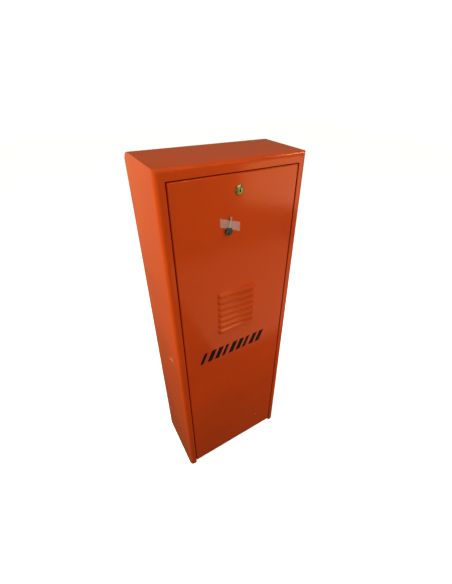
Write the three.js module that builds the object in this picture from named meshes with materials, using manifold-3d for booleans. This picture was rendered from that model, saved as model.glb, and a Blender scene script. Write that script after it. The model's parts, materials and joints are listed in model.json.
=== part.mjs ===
// Upright of a hydraulic road barrier: a sheet-steel cabinet with a lift-out door, and the drive inside it.
// Millimetres, +Z up. The door faces -Y, the beam shaft leaves through the rear wall at +Y.
// Origin: centre of the cabinet's footprint, on the ground.
//
// The shaft turns a quarter turn. Its rocker has two arms whose undersides are involutes of one circle, so each
// flat-topped plunger moves in exact proportion to the shaft's angle, straight below the same point.

import * as THREE from "three";
import { mergeVertices } from "three/addons/utils/BufferGeometryUtils.js";
import Module from "manifold-3d";

const wasm = await Module();
wasm.setup();

// ---- driving dimensions ----
const WIDTH = 375;
const DEPTH = 207;
const HEIGHT = 1080;
const SHEET = 2;
const GAP = 0.3; // clearance between pieces that rest on each other
const REAR_TOP_RADIUS = 40;
const FRONT_TOP_RADIUS = 10;
const FRONT_CORNER_RADIUS = 12;
const REAR_CORNER_RADIUS = 6;
const SIDE_STRIP = 21;
const TOP_STRIP = 24;
const LIP_DEPTH = 18.5;
const DOOR_GAP = 3;
const DOOR_BOTTOM = 14;
const DOOR_SHEET = 1.5;
const DOOR_RETURN = 18;
const BASE_THICKNESS = 5;

const SHAFT_Z = 880;
const SHAFT_RADIUS = 17.5;
const SHAFT_END_RADIUS = 15;
const SWING = Math.PI / 2;
const BASE_CIRCLE = 60; // the involutes' base circle, and each plunger's distance from the shaft's axis
const UPPER_DROP = 15; // from the shaft's axis down to a raised plunger
const TRAVEL = BASE_CIRCLE * SWING;
const PLUNGER_Y = 35;
const PLUNGER_LENGTH = 270;
const PLUNGER_RADIUS = 15;

const LOUVRE_COUNT = 7;
const LOUVRE_PITCH = 21;
const LOUVRE_TOP_Z = 752;
const LOUVRE_HALF_WIDTH = 59;
const LOUVRE_CENTRE_X = -1;
const LOCK_Z = 1016;

const HALF_W = WIDTH / 2;
const HALF_D = DEPTH / 2;
const FRONT = -HALF_D;
const OPENING_HALF = HALF_W - SIDE_STRIP;
const OPENING_TOP = HEIGHT - TOP_STRIP;
const LIP_END = FRONT + LIP_DEPTH;

// ---- shape helpers ----
function solidOf(geometry) {
  const bare = geometry.clone();
  bare.deleteAttribute("normal");
  bare.deleteAttribute("uv");
  const merged = mergeVertices(bare, 1e-4);
  return new wasm.Manifold(
    new wasm.Mesh({
      numProp: 3,
      vertProperties: new Float32Array(merged.attributes.position.array),
      triVerts: new Uint32Array(merged.index.array),
    }),
  );
}

function geometryOf(solid) {
  const mesh = solid.getMesh();
  const geometry = new THREE.BufferGeometry();
  geometry.setAttribute("position", new THREE.BufferAttribute(mesh.vertProperties, 3));
  geometry.setIndex(new THREE.BufferAttribute(mesh.triVerts, 1));
  const flat = geometry.toNonIndexed();
  flat.computeVertexNormals();
  return flat;
}

const join = (first, ...others) => others.reduce((sum, other) => sum.add(other), first);
const cut = (first, ...others) => others.reduce((rest, other) => rest.subtract(other), first);

function block([x0, x1], [y0, y1], [z0, z1]) {
  const geometry = new THREE.BoxGeometry(x1 - x0, y1 - y0, z1 - z0);
  geometry.translate((x0 + x1) / 2, (y0 + y1) / 2, (z0 + z1) / 2);
  return solidOf(geometry);
}

// Turns a shape built along +Z so that it lies along the named axis, its own X and Y kept right-handed.
function alongAxis(geometry, axis) {
  const frames = {
    x: [[0, 1, 0], [0, 0, 1], [1, 0, 0]],
    y: [[1, 0, 0], [0, 0, 1], [0, -1, 0]],
    z: [[1, 0, 0], [0, 1, 0], [0, 0, 1]],
  };
  const [u, v, w] = frames[axis].map((column) => new THREE.Vector3(...column));
  return geometry.applyMatrix4(new THREE.Matrix4().makeBasis(u, v, w));
}

// An outline of [u, v] points, swept along an axis. On x the outline is (y, z), on y (x, z), on z (x, y).
function prism(outline, axis, from, to) {
  const shape = new THREE.Shape(outline.map(([u, v]) => new THREE.Vector2(u, v)));
  const geometry = new THREE.ExtrudeGeometry(shape, { depth: to - from, bevelEnabled: false });
  alongAxis(geometry, axis);
  const start = axis === "y" ? to : from;
  geometry.translate(...["x", "y", "z"].map((name) => (name === axis ? start : 0)));
  return solidOf(geometry);
}

function arc([u, v], radius, fromDeg, toDeg, steps) {
  return Array.from({ length: steps + 1 }, (_, i) => {
    const angle = THREE.MathUtils.degToRad(fromDeg + ((toDeg - fromDeg) * i) / steps);
    return [u + radius * Math.cos(angle), v + radius * Math.sin(angle)];
  });
}

const circle = (centre, radius, sides) => arc(centre, radius, 0, 360 - 360 / sides, sides - 1);
const hexagon = (centre, acrossFlats) => circle(centre, acrossFlats / Math.sqrt(3), 6);

// A round bar along an axis, centred on [u, v] of the outline plane.
function bar(axis, centre, radius, from, to, sides = 32) {
  return prism(circle(centre, radius, sides), axis, from, to);
}

// A tube along a smooth curve through the given points.
function tube(points, radius, steps, sides = 8) {
  const path = new THREE.CatmullRomCurve3(points.map((p) => new THREE.Vector3(...p)), false, "centripetal");
  const section = new THREE.Shape(circle([0, 0], radius, sides).map(([u, v]) => new THREE.Vector2(u, v)));
  const geometry = new THREE.ExtrudeGeometry(section, { extrudePath: path, steps, bevelEnabled: false });
  return solidOf(geometry);
}

// ---- materials ----
const finish = (color, roughness, metalness) => new THREE.MeshStandardMaterial({ color, roughness, metalness });
const orangePaint = finish(0xd2491a, 0.3, 0.1);
const zincPlate = finish(0xb9b7a8, 0.4, 0.9);
const darkSteel = finish(0x3b3d40, 0.45, 0.8);
const polishedSteel = finish(0xd4d6d8, 0.18, 1);
const bronze = finish(0xb07b3c, 0.35, 0.9);
const brass = finish(0xb8963e, 0.3, 0.95);
const castAluminium = finish(0xa9abad, 0.5, 0.8);
const blackPaint = finish(0x1d1e20, 0.4, 0.2);
const blackRubber = finish(0x161616, 0.8, 0);
const springPaint = finish(0x24262b, 0.35, 0.3);
const greyPlastic = finish(0x9da1a4, 0.5, 0);
const clearPlastic = new THREE.MeshStandardMaterial({ color: 0xcfd8dc, roughness: 0.1, transparent: true, opacity: 0.35 });
const boardGreen = finish(0x1f5c3a, 0.5, 0.05);
const darkPlastic = finish(0x23302c, 0.45, 0);

const root = new THREE.Group();

function add(name, solid, material) {
  const mesh = new THREE.Mesh(geometryOf(solid), material);
  mesh.name = name;
  root.add(mesh);
}

// ---- cabinet: one welded shell, split along its weld lines into two side panels and a hood ----
function sideOutline(inset) {
  const y = HALF_D - inset;
  const top = HEIGHT - inset;
  const rear = REAR_TOP_RADIUS - inset;
  const front = FRONT_TOP_RADIUS - inset;
  const foot = inset ? -1 : 0;
  return [
    [-y, foot],
    [y, foot],
    ...arc([y - rear, top - rear], rear, 0, 90, 8),
    ...arc([-y + front, top - front], front, 90, 180, 4),
  ];
}

function planOutline(inset) {
  const x = HALF_W - inset;
  const y = HALF_D - inset;
  const front = FRONT_CORNER_RADIUS - inset;
  const rear = REAR_CORNER_RADIUS - inset;
  return [
    ...arc([-x + front, -y + front], front, 180, 270, 5),
    ...arc([x - front, -y + front], front, 270, 360, 5),
    ...arc([x - rear, y - rear], rear, 0, 90, 3),
    ...arc([-x + rear, y - rear], rear, 90, 180, 3),
  ];
}

function cabinetBlank(inset) {
  const x = HALF_W - inset;
  const profile = prism(sideOutline(inset), "x", -x, x);
  return profile.intersect(prism(planOutline(inset), "z", inset ? -1 : 0, HEIGHT));
}

function weldedShell() {
  const skin = cut(
    cabinetBlank(0),
    cabinetBlank(SHEET),
    block([-OPENING_HALF, OPENING_HALF], [FRONT - 1, LIP_END], [-1, OPENING_TOP]),
    bar("y", [0, SHAFT_Z], 32, HALF_D - 10, HALF_D + 1),
  );
  const lips = cut(
    block([-OPENING_HALF - SHEET, OPENING_HALF + SHEET], [FRONT, LIP_END], [0, OPENING_TOP + SHEET]),
    block([-OPENING_HALF, OPENING_HALF], [FRONT - 1, LIP_END + 1], [-1, OPENING_TOP]),
  );
  return join(skin, lips);
}

// The space that a side panel keeps: its flat web, and the front strip below the hood's own strip.
function sidePanelSpace(side, margin) {
  const web = HALF_W - SHEET - margin;
  const strip = OPENING_HALF - 0.5 - margin;
  const far = HALF_W + 5;
  const span = (inner) => (side < 0 ? [-far, -inner] : [inner, far]);
  return join(
    block(span(web), [FRONT - 5, HALF_D + 5], [-2, HEIGHT + 5]),
    block(span(strip), [FRONT - 5, LIP_END + 1 + margin], [-2, OPENING_TOP - GAP + margin]),
  );
}

const shell = weldedShell();
add("side_panel_left", shell.intersect(sidePanelSpace(-1, 0)), orangePaint);
add("side_panel_right", shell.intersect(sidePanelSpace(1, 0)), orangePaint);
add("hood_panel", cut(shell, sidePanelSpace(-1, GAP), sidePanelSpace(1, GAP)), orangePaint);

const BASE_HALF = HALF_W - SHEET - 0.5;
const BASE_BACK = HALF_D - SHEET - 0.5;
const CABLE_OPENING = { x: [-60, 60], y: [-82, -32] };
const ANCHOR_X = 150;
const ANCHOR_Y = [-60, 78];
add(
  "base_plate",
  cut(
    join(
      prism(
        [
          [-BASE_HALF, LIP_END + 0.5],
          [BASE_HALF, LIP_END + 0.5],
          [BASE_HALF, BASE_BACK - 5],
          [BASE_HALF - 5, BASE_BACK],
          [5 - BASE_HALF, BASE_BACK],
          [-BASE_HALF, BASE_BACK - 5],
        ],
        "z",
        0,
        BASE_THICKNESS,
      ),
      block([-OPENING_HALF + 1, OPENING_HALF - 1], [-95, LIP_END + 1], [0, BASE_THICKNESS]),
    ),
    block(CABLE_OPENING.x, CABLE_OPENING.y, [-1, BASE_THICKNESS + 1]),
    ...[-ANCHOR_X, ANCHOR_X].flatMap((x) => ANCHOR_Y.map((y) => bar("z", [x, y], 9, -1, BASE_THICKNESS + 1, 24))),
  ),
  zincPlate,
);

const SILL_TOP = DOOR_BOTTOM - GAP;
const PIN_X = 130;
const PIN_Y = -88;
add(
  "door_sill",
  join(
    cut(
      block([-OPENING_HALF + 2, OPENING_HALF - 2], [-95, -78], [BASE_THICKNESS + GAP, SILL_TOP]),
      block([-OPENING_HALF + 1, OPENING_HALF - 1], [-93, -77], [BASE_THICKNESS, SILL_TOP - 2]),
    ),
    ...[-PIN_X, PIN_X].map((x) => bar("z", [x, PIN_Y], 3, SILL_TOP - 1, 20, 12)),
  ),
  zincPlate,
);

// ---- shaft bearings and their supports ----
const BRIDGE_Y = [-20, -12];
const BRIDGE_Z = [835, 925];
const WALL_X = HALF_W - SHEET - GAP;
add(
  "bearing_bridge",
  cut(
    join(
      block([-WALL_X, WALL_X], BRIDGE_Y, BRIDGE_Z),
      block([-WALL_X, -WALL_X + 6], [BRIDGE_Y[0], 20], BRIDGE_Z),
      block([WALL_X - 6, WALL_X], [BRIDGE_Y[0], 20], BRIDGE_Z),
    ),
    bar("y", [0, SHAFT_Z], 26, BRIDGE_Y[0] - 1, BRIDGE_Y[1] + 1),
  ),
  zincPlate,
);

const REAR_PLATE_Y = [92, HALF_D - SHEET - GAP];
const SHELF_Z = [965, 973];
const STOP_X = 75;
add(
  "rear_bearing_plate",
  cut(
    join(
      block([-115, 115], REAR_PLATE_Y, [800, SHELF_Z[1]]),
      block([-115, 115], [20, REAR_PLATE_Y[1]], SHELF_Z),
    ),
    bar("y", [0, SHAFT_Z], 26, REAR_PLATE_Y[0] - 1, HALF_D),
    ...[-STOP_X, STOP_X].map((x) => bar("z", [x, PLUNGER_Y], 6.4, SHELF_Z[0] - 1, SHELF_Z[1] + 1, 16)),
  ),
  zincPlate,
);

// A square-flanged bearing housing on a plate's rear (+1) or front (-1) face, its boss pointing that way.
function bearingHousing(plateY, direction) {
  const face = plateY + direction * GAP;
  const at = (depth) => [face, face + direction * depth].sort((a, b) => a - b);
  const flange = [[-42, -34], [-34, -42], [34, -42], [42, -34], [42, 34], [34, 42], [-34, 42], [-42, 34]];
  return cut(
    join(
      prism(flange.map(([x, z]) => [x, z + SHAFT_Z]), "y", ...at(9)),
      bar("y", [0, SHAFT_Z], 30, ...at(20)),
    ),
    bar("y", [0, SHAFT_Z], 22.5 + GAP, face - 40, face + 40),
  );
}
add("front_bearing_housing", bearingHousing(BRIDGE_Y[1], 1), castAluminium);
add("rear_bearing_housing", bearingHousing(REAR_PLATE_Y[0], -1), castAluminium);

function bush(from, to) {
  return cut(bar("y", [0, SHAFT_Z], 22.5, from, to), bar("y", [0, SHAFT_Z], SHAFT_RADIUS + GAP, from - 1, to + 1));
}
add("front_bush", bush(-19, 8), bronze);
add("rear_bush", bush(72, 99), bronze);
add(
  "shaft_seal",
  cut(
    join(
      bar("y", [0, SHAFT_Z], 31, HALF_D - SHEET, HALF_D + 1),
      bar("y", [0, SHAFT_Z], 36, HALF_D + GAP, HALF_D + 4),
    ),
    bar("y", [0, SHAFT_Z], SHAFT_RADIUS + 0.5, HALF_D - 5, HALF_D + 8),
  ),
  blackRubber,
);

// ---- shaft, rocker and beam flange: these turn together ----
const SHOULDER_Y = 110;
const SHAFT_END_Y = 128;
const KEY = { y: [18, 52], halfWidth: 4, z: [SHAFT_RADIUS - 4, SHAFT_RADIUS + 3] };
add(
  "drive_shaft",
  cut(
    join(
      bar("y", [0, SHAFT_Z], SHAFT_RADIUS, -30, SHOULDER_Y),
      bar("y", [0, SHAFT_Z], SHAFT_END_RADIUS, SHOULDER_Y - 1, SHAFT_END_Y),
    ),
    bar("y", [0, SHAFT_Z], 6 + GAP, 95, SHAFT_END_Y + 1, 20),
    block([-KEY.halfWidth - GAP, KEY.halfWidth + GAP], [KEY.y[0] - GAP, KEY.y[1] + GAP], [SHAFT_Z + KEY.z[0] - GAP, SHAFT_Z + 30]),
  ),
  polishedSteel,
);
add(
  "rocker_key",
  block([-KEY.halfWidth, KEY.halfWidth], KEY.y, [SHAFT_Z + KEY.z[0], SHAFT_Z + KEY.z[1]]),
  darkSteel,
);

// The right arm at rest, pointing down: the involute from its root to its tip, then the arm's other edge.
function armOutline() {
  const start = -(UPPER_DROP + TRAVEL) / BASE_CIRCLE;
  const first = -SWING;
  const last = 0.08;
  const steps = 20;
  const involute = Array.from({ length: steps + 1 }, (_, i) => {
    const turn = first + ((last - first) * i) / steps;
    const string = BASE_CIRCLE * (turn - start);
    return [
      BASE_CIRCLE * Math.cos(turn) + string * Math.sin(turn),
      BASE_CIRCLE * Math.sin(turn) - string * Math.cos(turn),
    ];
  });
  return [[-6, -40], ...involute, [78, -99], [31.5, -5.5], [0, -20]];
}

const HUB_RADIUS = 32;
const HUB_Y = [12, 58];
const ARM_Y = [25, 45];
function rocker() {
  const right = armOutline();
  const left = right.map(([x, z]) => [z, x]).reverse(); // the arms mirror each other about the line x = z
  const lift = (outline) => outline.map(([x, z]) => [x, z + SHAFT_Z]);
  const web = [...arc([0, 0], HUB_RADIUS + 2, -20, 110, 10), [0, 0]];
  return cut(
    join(
      prism(lift(right), "y", ...ARM_Y),
      prism(lift(left), "y", ...ARM_Y),
      prism(lift(web), "y", ...ARM_Y),
      bar("y", [0, SHAFT_Z], HUB_RADIUS, ...HUB_Y, 40),
    ),
    bar("y", [0, SHAFT_Z], SHAFT_RADIUS + GAP, HUB_Y[0] - 1, HUB_Y[1] + 1),
    block([-KEY.halfWidth - GAP, KEY.halfWidth + GAP], [HUB_Y[0] - 1, KEY.y[1] + GAP], [SHAFT_Z, SHAFT_Z + KEY.z[1] + GAP]),
  );
}
add("rocker_arm", rocker(), darkSteel);

add(
  "shaft_collar",
  cut(bar("y", [0, SHAFT_Z], 25, -29, BRIDGE_Y[0] - 0.5), bar("y", [0, SHAFT_Z], SHAFT_RADIUS + GAP, -40, 0)),
  zincPlate,
);

const FLANGE_HOLE = 38;
add(
  "beam_flange",
  cut(
    join(
      bar("y", [0, SHAFT_Z], 75, 118, 130, 48),
      bar("y", [0, SHAFT_Z], 30, SHOULDER_Y + GAP, 119),
    ),
    bar("y", [0, SHAFT_Z], SHAFT_END_RADIUS + GAP, 100, 140),
    ...[-FLANGE_HOLE, FLANGE_HOLE].flatMap((x) =>
      [-FLANGE_HOLE, FLANGE_HOLE].map((z) => bar("y", [x, SHAFT_Z + z], 6.5, 110, 140, 20)),
    ),
  ),
  zincPlate,
);
add(
  "flange_bolt",
  join(
    bar("y", [0, SHAFT_Z], 24, 130 + GAP, 134),
    prism(hexagon([0, SHAFT_Z], 19), "y", 133, 142),
    bar("y", [0, SHAFT_Z], 6, 97, 134, 20),
  ),
  zincPlate,
);

// ---- end stops for the rocker ----
function stopBolt(x) {
  return join(
    bar("z", [x, PLUNGER_Y], 6, 949.6, 986, 16),
    prism(hexagon([x, PLUNGER_Y], 19), "z", 985, 993),
  );
}
function stopNut(x) {
  return cut(
    prism(hexagon([x, PLUNGER_Y], 19), "z", SHELF_Z[1] + GAP, 982),
    bar("z", [x, PLUNGER_Y], 6 + GAP, 960, 990, 16),
  );
}
add("open_stop_bolt", stopBolt(-STOP_X), zincPlate);
add("closed_stop_bolt", stopBolt(STOP_X), zincPlate);
add("open_stop_nut", stopNut(-STOP_X), zincPlate);
add("closed_stop_nut", stopNut(STOP_X), zincPlate);

// ---- plungers and cylinders ----
const BRIDGE_TOP = 475;
const BARREL_RADIUS = 25;
const BARREL_TOP = 708;
const GLAND_TOP = 726;
const PAD_THICKNESS = 8;
const SEAT_DROP = 37; // from a plunger's top down to the underside of the spring seat
const HOSE_X = 128;
const PORT_Z = 486;

add(
  "cylinder_bridge",
  cut(
    block([-WALL_X, WALL_X], [0, 70], [432, BRIDGE_TOP]),
    block([-WALL_X - 1, WALL_X + 1], [5, 65], [431, BRIDGE_TOP - 6]),
    ...[-HOSE_X, HOSE_X].map((x) => bar("z", [x, PLUNGER_Y], 9, 460, BRIDGE_TOP + 1, 20)),
  ),
  zincPlate,
);

function cylinder(x) {
  const centre = [x, PLUNGER_Y];
  return cut(
    join(
      bar("z", centre, 34, BRIDGE_TOP + GAP, BRIDGE_TOP + 10),
      bar("z", centre, BARREL_RADIUS, BRIDGE_TOP + 5, BARREL_TOP),
    ),
    bar("z", centre, PLUNGER_RADIUS + 1, BRIDGE_TOP + 20, BARREL_TOP + 1),
  );
}

function gland(x) {
  const centre = [x, PLUNGER_Y];
  return cut(
    bar("z", centre, 27, BARREL_TOP + GAP, GLAND_TOP),
    bar("z", centre, PLUNGER_RADIUS + GAP, BARREL_TOP - 1, GLAND_TOP + 1),
  );
}

function plunger(x, top) {
  const centre = [x, PLUNGER_Y];
  return join(
    bar("z", centre, PLUNGER_RADIUS, top - PLUNGER_LENGTH, top - PAD_THICKNESS + 1),
    bar("z", centre, 20, top - PAD_THICKNESS, top),
  );
}

const RAISED_TOP = SHAFT_Z - UPPER_DROP - GAP;
const LOWERED_TOP = RAISED_TOP - TRAVEL;
add("left_cylinder", cylinder(-BASE_CIRCLE), zincPlate);
add("right_cylinder", cylinder(BASE_CIRCLE), zincPlate);
add("left_gland", gland(-BASE_CIRCLE), darkSteel);
add("right_gland", gland(BASE_CIRCLE), darkSteel);
add("left_plunger", plunger(-BASE_CIRCLE, RAISED_TOP), polishedSteel);
add("right_plunger", plunger(BASE_CIRCLE, LOWERED_TOP), polishedSteel);

// ---- balance spring round the left cylinder ----
const ADJUSTER_Z = [520, 535];
const SPRING_TOP = RAISED_TOP - SEAT_DROP - GAP;
const SPRING_BOTTOM = ADJUSTER_Z[1] + GAP;
const SPRING_RADIUS = 32.5;
const WIRE_RADIUS = 4;
const SPRING_TURNS = 12;

add(
  "spring_seat",
  cut(
    join(
      bar("z", [-BASE_CIRCLE, PLUNGER_Y], 38, RAISED_TOP - SEAT_DROP, RAISED_TOP - SEAT_DROP + 6),
      bar("z", [-BASE_CIRCLE, PLUNGER_Y], 20, RAISED_TOP - SEAT_DROP + 5, RAISED_TOP - PAD_THICKNESS - GAP),
    ),
    bar("z", [-BASE_CIRCLE, PLUNGER_Y], PLUNGER_RADIUS + GAP, 800, RAISED_TOP),
  ),
  darkSteel,
);
add(
  "spring_adjuster",
  cut(
    bar("z", [-BASE_CIRCLE, PLUNGER_Y], 40, ...ADJUSTER_Z),
    bar("z", [-BASE_CIRCLE, PLUNGER_Y], BARREL_RADIUS + GAP, ADJUSTER_Z[0] - 1, ADJUSTER_Z[1] + 1),
    ...[0, 1, 2, 3, 4, 5].map((i) => {
      const [x, y] = circle([-BASE_CIRCLE, PLUNGER_Y], 41, 6)[i];
      return bar("z", [x, y], 4, ADJUSTER_Z[0] - 1, ADJUSTER_Z[1] + 1, 10);
    }),
  ),
  zincPlate,
);

// A compression spring: its first and last turns lie nearly flat, the rest climb evenly.
class SpringCurve extends THREE.Curve {
  getPoint(t) {
    const turn = t * SPRING_TURNS;
    const angle = turn * 2 * Math.PI;
    const closed = WIRE_RADIUS * 2.2;
    const low = SPRING_BOTTOM + WIRE_RADIUS;
    const high = SPRING_TOP - WIRE_RADIUS;
    const open = (high - low - 2 * closed) / (SPRING_TURNS - 2);
    const last = SPRING_TURNS - 1;
    const z = low + Math.min(turn, 1) * closed + THREE.MathUtils.clamp(turn - 1, 0, last - 1) * open;
    return new THREE.Vector3(
      -BASE_CIRCLE + SPRING_RADIUS * Math.cos(angle),
      PLUNGER_Y + SPRING_RADIUS * Math.sin(angle),
      z + Math.max(turn - last, 0) * closed,
    );
  }
}
function spring() {
  const section = new THREE.Shape(circle([0, 0], WIRE_RADIUS, 6).map(([u, v]) => new THREE.Vector2(u, v)));
  const geometry = new THREE.ExtrudeGeometry(section, {
    extrudePath: new SpringCurve(),
    steps: SPRING_TURNS * 12,
    bevelEnabled: false,
  });
  return solidOf(geometry);
}
add("balance_spring", spring(), springPaint);

// ---- hydraulic power unit ----
const roundedRect = ([x0, x1], [y0, y1], r) => [
  ...arc([x0 + r, y0 + r], r, 180, 270, 3),
  ...arc([x1 - r, y0 + r], r, 270, 360, 3),
  ...arc([x1 - r, y1 - r], r, 0, 90, 3),
  ...arc([x0 + r, y1 - r], r, 90, 180, 3),
];
const TANK = { x: [-100, 100], y: [-22, 92], top: 150 };
const BLOCK = { x: [-62, 62], y: [-12, 82], z: [TANK.top + GAP, 215] };
const MOTOR = { centre: [0, PLUNGER_Y], z: [BLOCK.z[1] + GAP, 370] };
add(
  "oil_tank",
  join(
    prism(roundedRect(TANK.x, TANK.y, 14), "z", BASE_THICKNESS + GAP, TANK.top),
    prism(roundedRect([-106, 106], [-28, 98], 14), "z", TANK.top - 10, TANK.top),
    prism(roundedRect([-106, 106], [-28, 98], 14), "z", BASE_THICKNESS + GAP, 15),
  ),
  castAluminium,
);
add(
  "pump_block",
  join(
    prism(roundedRect(BLOCK.x, BLOCK.y, 6), "z", ...BLOCK.z),
    ...[-26, 26].map((x) => bar("y", [x, 190], 9, BLOCK.y[0] - 4, BLOCK.y[0] + 1, 20)),
    bar("y", [0, 172], 10, BLOCK.y[0] - 6, BLOCK.y[0] + 1, 20),
  ),
  castAluminium,
);

// Cooling fins round the motor, as a star of narrow ribs.
function finnedOutline([x, y], root, tip, count) {
  const step = 360 / count;
  return Array.from({ length: count }, (_, i) => [
    ...arc([x, y], root, (i - 0.3) * step, (i - 0.28) * step, 1),
    ...arc([x, y], tip, (i - 0.14) * step, (i + 0.14) * step, 1),
    ...arc([x, y], root, (i + 0.28) * step, (i + 0.3) * step, 1),
  ]).flat();
}
add(
  "pump_motor",
  join(
    bar("z", MOTOR.centre, 54, MOTOR.z[0], MOTOR.z[0] + 10),
    prism(finnedOutline(MOTOR.centre, 49, 54, 24), "z", MOTOR.z[0] + 9, MOTOR.z[1]),
  ),
  blackPaint,
);

function motorCap() {
  const base = MOTOR.z[1] + GAP;
  const profile = [[0, base], [54, base], ...arc([40, base + 8], 14, 0, 90, 4), [0, base + 22]];
  const geometry = new THREE.LatheGeometry(profile.map(([r, z]) => new THREE.Vector2(r, z)), 32);
  geometry.applyMatrix4(new THREE.Matrix4().makeRotationX(Math.PI / 2));
  geometry.translate(MOTOR.centre[0], MOTOR.centre[1], 0);
  return solidOf(geometry);
}
add("motor_cap", motorCap(), blackPaint);

const TERMINAL_BOX = { x: [-24, 24], y: [-40, -20.5], z: [290, 345] };
add("motor_terminal_box", block(TERMINAL_BOX.x, TERMINAL_BOX.y, TERMINAL_BOX.z), darkPlastic);
add(
  "filler_plug",
  join(
    bar("z", [82, 20], 9, TANK.top + GAP, 156, 20),
    prism(hexagon([82, 20], 22), "z", 155, 168),
  ),
  blackPaint,
);

// ---- force screws and release lever on the pump block ----
const SCREW_FACE = BLOCK.y[0] - 4 - GAP;
function forceScrew(x) {
  return cut(
    bar("y", [x, 190], 7, SCREW_FACE - 9, SCREW_FACE, 20),
    block([x - 6, x + 6], [SCREW_FACE - 10, SCREW_FACE - 7], [189, 191]),
  );
}
add("open_force_screw", forceScrew(-26), brass);
add("close_force_screw", forceScrew(26), brass);

const LEVER_FACE = BLOCK.y[0] - 6 - GAP;
add(
  "release_lever",
  join(
    bar("y", [0, 172], 9, LEVER_FACE - 24, LEVER_FACE, 20),
    prism([[-5, 172], [5, 172], [4, 220], [-4, 220]], "y", LEVER_FACE - 24, LEVER_FACE - 18),
    bar("y", [0, 220], 7, LEVER_FACE - 26, LEVER_FACE - 16, 20),
  ),
  blackPaint,
);

// ---- hoses from the pump block to the cylinders ----
const HOSE_RADIUS = 5;
function hose(side) {
  const outlet = BLOCK.x[1] + GAP;
  const port = 34 + GAP;
  const x = (value) => side * value;
  return tube(
    [
      [x(outlet), PLUNGER_Y, 190],
      [x(outlet + 25), PLUNGER_Y, 190],
      [x(HOSE_X - 10), PLUNGER_Y, 205],
      [x(HOSE_X), PLUNGER_Y, 245],
      [x(HOSE_X), PLUNGER_Y, 340],
      [x(HOSE_X), PLUNGER_Y, 450],
      [x(HOSE_X), PLUNGER_Y, 468],
      [x(HOSE_X - 3), PLUNGER_Y, 486],
      [x(HOSE_X - 10), PLUNGER_Y, 500],
      [x(HOSE_X - 20), PLUNGER_Y, 503],
      [x(BASE_CIRCLE + port + 6), PLUNGER_Y, 495],
      [x(BASE_CIRCLE + BARREL_RADIUS + 6), PLUNGER_Y, 495],
      [x(BASE_CIRCLE + BARREL_RADIUS + GAP), PLUNGER_Y, 495],
    ],
    HOSE_RADIUS,
    44,
  );
}
add("left_hose", hose(-1), blackRubber);
add("right_hose", hose(1), blackRubber);

// ---- control box in front of the shaft ----
const BOX = { x: [-125, 125], y: [-80, -36], z: [770, 960], wall: 3 };
const inward = ([low, high], by) => [low + by, high - by];
const BOARD_Y = [-50, -48];
const POSTS = [-100, 100].flatMap((x) => [795, 935].map((z) => [x, z]));
add(
  "control_box",
  join(
    cut(
      block(BOX.x, BOX.y, BOX.z),
      block(inward(BOX.x, BOX.wall), [BOX.y[0] - 1, BOX.y[1] - BOX.wall], inward(BOX.z, BOX.wall)),
    ),
    ...POSTS.map((post) => bar("y", post, 4, BOARD_Y[1] + GAP, BOX.y[1] - 1, 12)),
  ),
  greyPlastic,
);
add(
  "control_box_lid",
  cut(
    block(BOX.x, [BOX.y[0] - 4, BOX.y[0] - GAP], BOX.z),
    block(inward(BOX.x, 4), [BOX.y[0] - 2, BOX.y[0]], inward(BOX.z, 4)),
  ),
  clearPlastic,
);
add("control_board", block([-112, 112], BOARD_Y, [786, 944]), boardGreen);
const ON_BOARD = BOARD_Y[0] - GAP;
add("transformer", block([-98, -48], [ON_BOARD - 26, ON_BOARD], [880, 930]), darkSteel);
add(
  "terminal_strip",
  cut(
    block([-30, 100], [ON_BOARD - 14, ON_BOARD], [796, 810]),
    ...Array.from({ length: 12 }, (_, i) => block([-26 + i * 10.5, -20 + i * 10.5], [ON_BOARD - 15, ON_BOARD - 6], [795, 803])),
  ),
  boardGreen,
);
add("motor_capacitor", bar("z", [-75, -66], 11, 800, 860, 24), greyPlastic);
add(
  "box_bracket",
  join(
    block([-100, 100], [-35.5, -33.5], [790, 830]),
    ...[-1, 1].flatMap((side) => {
      const span = (near, far) => [near * side, far * side].sort((a, b) => a - b);
      return [
        block(span(98, 100), [-35.5, BRIDGE_Y[0] - GAP], [790, 860]),
        block(span(98, 120), [BRIDGE_Y[0] - 2 - GAP, BRIDGE_Y[0] - GAP], [790, 860]),
      ];
    }),
  ),
  zincPlate,
);

function cableGland(x) {
  return join(
    prism(hexagon([x, -58], 24), "z", 756, BOX.z[0] - GAP),
    bar("z", [x, -58], 9, 748, 757, 20),
  );
}
add("cable_gland_left", cableGland(-60), darkPlastic);
add("cable_gland_right", cableGland(60), darkPlastic);
add(
  "motor_cable",
  tube(
    [
      [60, -58, 748 - GAP],
      [60, -58, 725],
      [62, -60, 660],
      [58, -58, 560],
      [40, -52, 470],
      [14, -40, 405],
      [2, -30, 375],
      [0, -30, TERMINAL_BOX.z[1] + GAP],
    ],
    4.5,
    48,
  ),
  blackRubber,
);

// ---- door: a folded tray with pressed louvres ----
const DOOR_HALF = OPENING_HALF - DOOR_GAP;
const DOOR_TOP = OPENING_TOP - DOOR_GAP;
const LOUVRE_OUT = 6;
const LOUVRE_HEIGHT = 13;

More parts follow.
